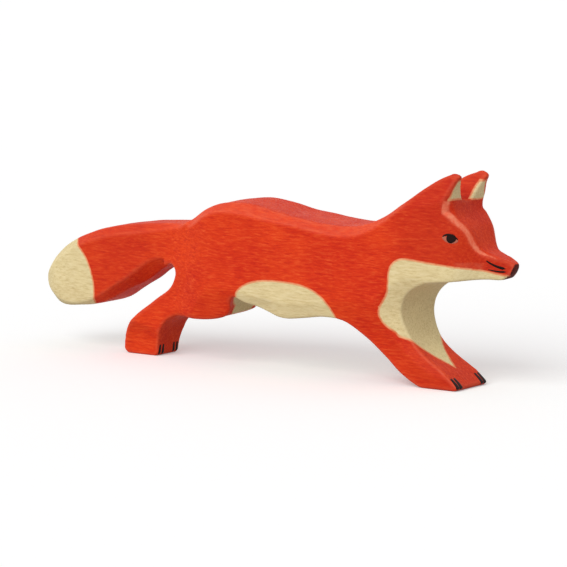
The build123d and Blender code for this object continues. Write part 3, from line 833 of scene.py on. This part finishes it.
def rounded(width):
    """Half widths of a round dab."""
    return lambda share: width * np.sqrt(share * (1 - share))


def in_box(node, line):
    """Points given as shares of a solid's box, seen from the flank, in millimetres."""
    low, high = box_mm(node)
    return [(low[0] + x * (high[0] - low[0]), low[2] + z * (high[2] - low[2])) for x, z in line]


def claw_strokes(node, side, width):
    """Two strokes down the toes, which spread a little towards the sole."""
    low, high = box_mm(node)
    inner, outer = sorted((abs(low[1]), abs(high[1])))
    span = outer - inner
    made = []
    for top, foot in CLAW_PLACES:
        middle = (1 - CLAW_BEND) * top + CLAW_BEND * foot
        line = [
            (side * (inner + span * top), high[2]),
            (side * (inner + span * middle), (low[2] + high[2]) / 2),
            (side * (inner + span * foot), low[2]),
        ]
        made.append(stroke(line, tapered(width, CLAW_THIN), from_front(high[0] + TOE_CLEARANCE)))
    return made


def add_marks(name, strokes, node=None):
    """Adds one piece made of separate brush strokes."""
    points, faces, count = [], [], 0
    for one_points, one_faces in strokes:
        points.append(one_points)
        faces.append(one_faces + count)
        count += len(one_points)
    pieces[name] = mesh_object("fox_" + name, np.concatenate(points), np.concatenate(faces), node)


for side_name, side in (("right", -1), ("left", 1)):
    onto_flank = from_flank(side)
    eye = side_name + "_eye"
    lid_line = in_box(eye, LID_LINE)
    white_line = [lid_line[0], *in_box(eye, [WHITE_MIDDLE]), lid_line[2]]
    (pupil_x, pupil_z), = in_box(eye, [PUPIL_MIDDLE])
    half_wide = PUPIL_SIZE[0] / 2
    pupil_line = [(pupil_x - half_wide, pupil_z), (pupil_x, pupil_z), (pupil_x + half_wide, pupil_z)]
    add_marks(eye, [stroke(pupil_line, rounded(PUPIL_SIZE[1]), onto_flank)], eye)
    add_marks(eye + "_lid", [stroke(lid_line, drawn(LID_WIDTH), onto_flank, LID_HEIGHT)])
    white = stroke(white_line, drawn(WHITE_WIDTH), onto_flank, WHITE_HEIGHT)
    add_marks(eye + "_white", [white])
    mouth = side_name + "_mouth_lines"
    mouth_stroke = stroke(in_box(mouth, MOUTH_LINE), tapered(MOUTH_WIDTH), onto_flank)
    lip_stroke = stroke(in_box(mouth, LIP_LINE), tapered(LIP_WIDTH), onto_flank)
    add_marks(mouth, [mouth_stroke, lip_stroke], mouth)
    for feet, width in (("fore", FORE_CLAW_WIDTH), ("hind", HIND_CLAW_WIDTH)):
        claws = side_name + "_" + feet + "_claws"
        add_marks(claws, claw_strokes(claws, side, width), claws)


def noise(tree, coordinates, scales, detail, roughness):
    """Noise stretched by scales, given in waves per metre along X, Y and Z."""
    mapping = tree.nodes.new("ShaderNodeMapping")
    mapping.inputs["Scale"].default_value = scales
    texture = tree.nodes.new("ShaderNodeTexNoise")
    texture.inputs["Scale"].default_value = 1.0
    texture.inputs["Detail"].default_value = detail
    texture.inputs["Roughness"].default_value = roughness
    tree.links.new(coordinates, mapping.inputs["Vector"])
    tree.links.new(mapping.outputs["Vector"], texture.inputs["Vector"])
    return texture.outputs["Fac"]


def ramp(tree, source, stops):
    """Colours along the values of a source."""
    made = tree.nodes.new("ShaderNodeValToRGB")
    while len(made.color_ramp.elements) < len(stops):
        made.color_ramp.elements.new(0.5)
    for element, (place, colour) in zip(made.color_ramp.elements, stops):
        element.position = place
        element.color = (*colour, 1.0)
    tree.links.new(source, made.inputs["Fac"])
    return made.outputs["Color"]


def grey_ramp(tree, source, stops):
    """Plain numbers along the values of a source."""
    return ramp(tree, source, [(place, (value, value, value)) for place, value in stops])


def mixed(tree, share, under, over):
    """A share of one colour laid over another."""
    mix = tree.nodes.new("ShaderNodeMix")
    mix.data_type = "RGBA"
    tree.links.new(share, mix.inputs["Factor"])
    tree.links.new(under, mix.inputs["A"])
    tree.links.new(over, mix.inputs["B"])
    return mix.outputs["Result"]


def guide(tree, name):
    """The values of a paint guide."""
    made = tree.nodes.new("ShaderNodeAttribute")
    made.attribute_name = name
    return made.outputs["Fac"]


def creases(tree):
    """How much painted shade darkens the creases."""
    made = tree.nodes.new("ShaderNodeMapRange")
    made.inputs["From Min"].default_value = CREASE_RANGE[0]
    made.inputs["From Max"].default_value = CREASE_RANGE[1]
    made.inputs["To Max"].default_value = CREASE_SHARE
    tree.links.new(guide(tree, "edge"), made.inputs["Value"])
    return made.outputs["Result"]


def paint(name, streaks, blotches, worn_and_sheen, deep_and_crease_shade, deep_tone, roughness, gloss, grain_depth):
    """Thin paint over wood: streaks of grain, soft blotches of the brush, paler worn edges, painted sheen on
    the facets and painted shade in the creases.
    """
    material = bpy.data.materials.new(name)
    material.use_nodes = True
    tree = material.node_tree
    shader = tree.nodes["Principled BSDF"]
    shader.inputs["Specular IOR Level"].default_value = gloss
    coordinates = tree.nodes.new("ShaderNodeTexCoord").outputs["Object"]
    grain = noise(tree, coordinates, *GRAIN)
    brush = noise(tree, coordinates, *BRUSH)
    scuff = noise(tree, coordinates, *SCUFF)
    dark = ramp(tree, grain, deep_and_crease_shade)
    pale_wear_and_sheen = ramp(tree, scuff, worn_and_sheen)
    bare = ramp(tree, scuff, BARE_WOOD)
    deep_tone_layer = grey_ramp(tree, guide(tree, "deep"), [(0.0, 0.0), (1.0, deep_tone)])
    tint_share = grey_ramp(tree, scuff, BLOTCH_SHARES)
    colour = mixed(tree, tint_share, ramp(tree, grain, streaks), ramp(tree, brush, blotches))
    # Layers: the darker red, painted sheen on the facets, paler worn edges, painted shade in the creases and
    # lines of bare wood
    layers = (
        (deep_tone_layer, dark),
        (grey_ramp(tree, guide(tree, "facet"), FACET_SHARES), pale_wear_and_sheen),
        (grey_ramp(tree, guide(tree, "edge"), EDGE_SHARES), pale_wear_and_sheen),
        (creases(tree), dark),
        (grey_ramp(tree, guide(tree, "line"), LINE_SHARES), bare),
    )
    for share, over in layers:
        colour = mixed(tree, share, colour, over)
    tree.links.new(colour, shader.inputs["Base Color"])
    shine = zip(SCUFF_RANGE, (roughness - ROUGHNESS_SPREAD, roughness + ROUGHNESS_SPREAD))
    tree.links.new(grey_ramp(tree, scuff, shine), shader.inputs["Roughness"])
    bump = tree.nodes.new("ShaderNodeBump")
    bump.inputs["Strength"].default_value = grain_depth
    bump.inputs["Distance"].default_value = GRAIN_HEIGHT
    tree.links.new(grain, bump.inputs["Height"])
    tree.links.new(bump.outputs["Normal"], shader.inputs["Normal"])
    return material


PAINTS = {
    "red": paint(
        "red_paint_on_wood",
        streaks=[(0.33, (0.54, 0.015, 0.004)), (0.5, (0.77, 0.038, 0.005)), (0.67, (0.92, 0.115, 0.024))],
        blotches=[(0.38, (0.62, 0.018, 0.004)), (0.62, (0.84, 0.064, 0.008))],
        worn_and_sheen=[(0.35, (0.89, 0.140, 0.065)), (0.65, (0.97, 0.290, 0.165))],
        deep_and_crease_shade=[(0.3, (0.40, 0.014, 0.004)), (0.7, (0.52, 0.022, 0.006))],
        deep_tone=0.45,
        roughness=0.58,
        gloss=0.15,
        grain_depth=0.25,
    ),
    "cream": paint(
        "cream_paint_on_wood",
        streaks=[(0.35, (0.62, 0.47, 0.22)), (0.5, (0.82, 0.67, 0.35)), (0.65, (0.92, 0.78, 0.48))],
        blotches=[(0.38, (0.71, 0.56, 0.29)), (0.62, (0.84, 0.69, 0.37))],
        worn_and_sheen=[(0.35, (0.80, 0.66, 0.37)), (0.65, (0.88, 0.76, 0.48))],
        deep_and_crease_shade=[(0.3, (0.52, 0.38, 0.18)), (0.7, (0.62, 0.47, 0.23))],
        deep_tone=0.0,
        roughness=0.6,
        gloss=0.15,
        grain_depth=0.3,
    ),
    "black": paint(
        "black_brush_strokes",
        streaks=[(0.3, (0.003, 0.0015, 0.001)), (0.7, (0.022, 0.004, 0.003))],
        blotches=[(0.35, (0.004, 0.002, 0.001)), (0.65, (0.018, 0.004, 0.003))],
        worn_and_sheen=[(0.35, (0.010, 0.005, 0.004)), (0.65, (0.03, 0.012, 0.010))],
        deep_and_crease_shade=[(0.3, (0.003, 0.0015, 0.001)), (0.7, (0.006, 0.003, 0.002))],
        deep_tone=0.1,
        roughness=0.45,
        gloss=0.1,
        grain_depth=0.1,
    ),
    "nose": paint(
        "worn_black_nose",
        streaks=[(0.3, (0.010, 0.003, 0.002)), (0.7, (0.210, 0.028, 0.020))],
        blotches=[(0.35, (0.014, 0.004, 0.003)), (0.65, (0.130, 0.022, 0.016))],
        worn_and_sheen=[(0.35, (0.14, 0.03, 0.02)), (0.65, (0.30, 0.08, 0.06))],
        deep_and_crease_shade=[(0.3, (0.020, 0.010, 0.010)), (0.7, (0.040, 0.020, 0.020))],
        deep_tone=0.1,
        roughness=0.6,
        gloss=0.05,
        grain_depth=0.15,
    ),
    "eye_white": paint(
        "beige_eye",
        streaks=[(0.3, (0.44, 0.09, 0.05)), (0.7, (0.56, 0.17, 0.11))],
        blotches=[(0.35, (0.46, 0.10, 0.06)), (0.65, (0.54, 0.15, 0.10))],
        worn_and_sheen=[(0.35, (0.50, 0.14, 0.09)), (0.65, (0.58, 0.22, 0.14))],
        deep_and_crease_shade=[(0.3, (0.36, 0.08, 0.05)), (0.7, (0.44, 0.12, 0.07))],
        deep_tone=0.1,
        roughness=0.5,
        gloss=0.1,
        grain_depth=0.1,
    ),
}
SLOT_PAINTS = {"red_coat": "red", "cream_coat": "cream", "black_marks": "black"}
SPECIAL_PAINTS = {"nose": "nose", "right_eye_white": "eye_white", "left_eye_white": "eye_white"}
for name, piece in pieces.items():
    kind = SPECIAL_PAINTS.get(name) or SLOT_PAINTS[SLOTS.get(name, "black_marks")]
    piece.data.materials.append(PAINTS[kind])


def shown_rays(tree):
    """1 for rays that show the background: to the camera, by reflection or through glass."""
    rays = tree.nodes.new("ShaderNodeLightPath")
    shown = rays.outputs["Is Camera Ray"]
    for output in ("Is Glossy Ray", "Is Transmission Ray"):
        either = tree.nodes.new("ShaderNodeMath")
        either.operation = "MAXIMUM"
        tree.links.new(shown, either.inputs[0])
        tree.links.new(rays.outputs[output], either.inputs[1])
        shown = either.outputs["Value"]
    return shown


# Floor
floor_mesh = bpy.data.meshes.new("floor")
floor_corners = [(x * FLOOR_HALF, y * FLOOR_HALF, 0) for x, y in ((-1, -1), (1, -1), (1, 1), (-1, 1))]
floor_mesh.from_pydata(floor_corners, [], [(0, 1, 2, 3)])
floor = bpy.data.objects.new("floor", floor_mesh)
bpy.context.scene.collection.objects.link(floor)
floor_paint = bpy.data.materials.new("pale_floor")
floor_paint.use_nodes = True
floor_tree = floor_paint.node_tree
floor_shader = floor_tree.nodes["Principled BSDF"]
floor_shader.inputs["Roughness"].default_value = FLOOR_ROUGHNESS
floor_shader.inputs["Specular IOR Level"].default_value = 0.0
floor_shader.inputs["Emission Color"].default_value = (1, 1, 1, 1)
seen = shown_rays(floor_tree)
tone = grey_ramp(floor_tree, seen, [(0.0, FLOOR_TONES[0]), (1.0, FLOOR_TONES[1])])
glow = grey_ramp(floor_tree, seen, [(0.0, 0.0), (1.0, FLOOR_GLOW)])
floor_tree.links.new(tone, floor_shader.inputs["Base Color"])
floor_tree.links.new(glow, floor_shader.inputs["Emission Strength"])
floor_mesh.materials.append(floor_paint)

# Camera
turn, lift = math.radians(AZIMUTH), math.radians(ELEVATION)
back = Vector((math.sin(turn) * math.cos(lift), -math.cos(turn) * math.cos(lift), math.sin(lift)))
right = Vector((math.cos(turn), math.sin(turn), 0))
up = back.cross(right)
aim = Vector(AIM)
camera_place = aim + back * DISTANCE
pixel = DISTANCE / FOCAL_PIXELS
middle = aim + right * ((IMAGE_SIZE / 2 - AIM_PIXEL[0]) * pixel)
middle += up * ((AIM_PIXEL[1] - IMAGE_SIZE / 2) * pixel)
camera_data = bpy.data.cameras.new("camera")
camera_data.lens = camera_data.sensor_width * FOCAL_PIXELS / IMAGE_SIZE
camera_data.clip_start = CLIP_START
camera = bpy.data.objects.new("camera", camera_data)
camera.location = camera_place * MM
camera.rotation_euler = (middle - camera_place).to_track_quat("-Z", "Y").to_euler()
bpy.context.scene.collection.objects.link(camera)
bpy.context.scene.camera = camera

# Light
key_data = bpy.data.lights.new("key", "SUN")
key_data.energy = KEY_STRENGTH
key_data.angle = math.radians(KEY_SOFTNESS)
key = bpy.data.objects.new("key", key_data)
key_way = KEY_PLACE[0] * back + KEY_PLACE[1] * right + Vector((0, 0, KEY_PLACE[2]))
key.rotation_euler = (-key_way).to_track_quat("-Z", "Y").to_euler()
bpy.context.scene.collection.objects.link(key)
world = bpy.data.worlds.new("studio")
world.use_nodes = True
world_tree = world.node_tree
backdrop = world_tree.nodes["Background"]
backdrop.inputs["Color"].default_value = (1, 1, 1, 1)
strength = grey_ramp(world_tree, shown_rays(world_tree), [(0.0, SKY_STRENGTH), (1.0, 1.0)])
world_tree.links.new(strength, backdrop.inputs["Strength"])
bpy.context.scene.world = world
bpy.context.scene.view_settings.view_transform = "Standard"
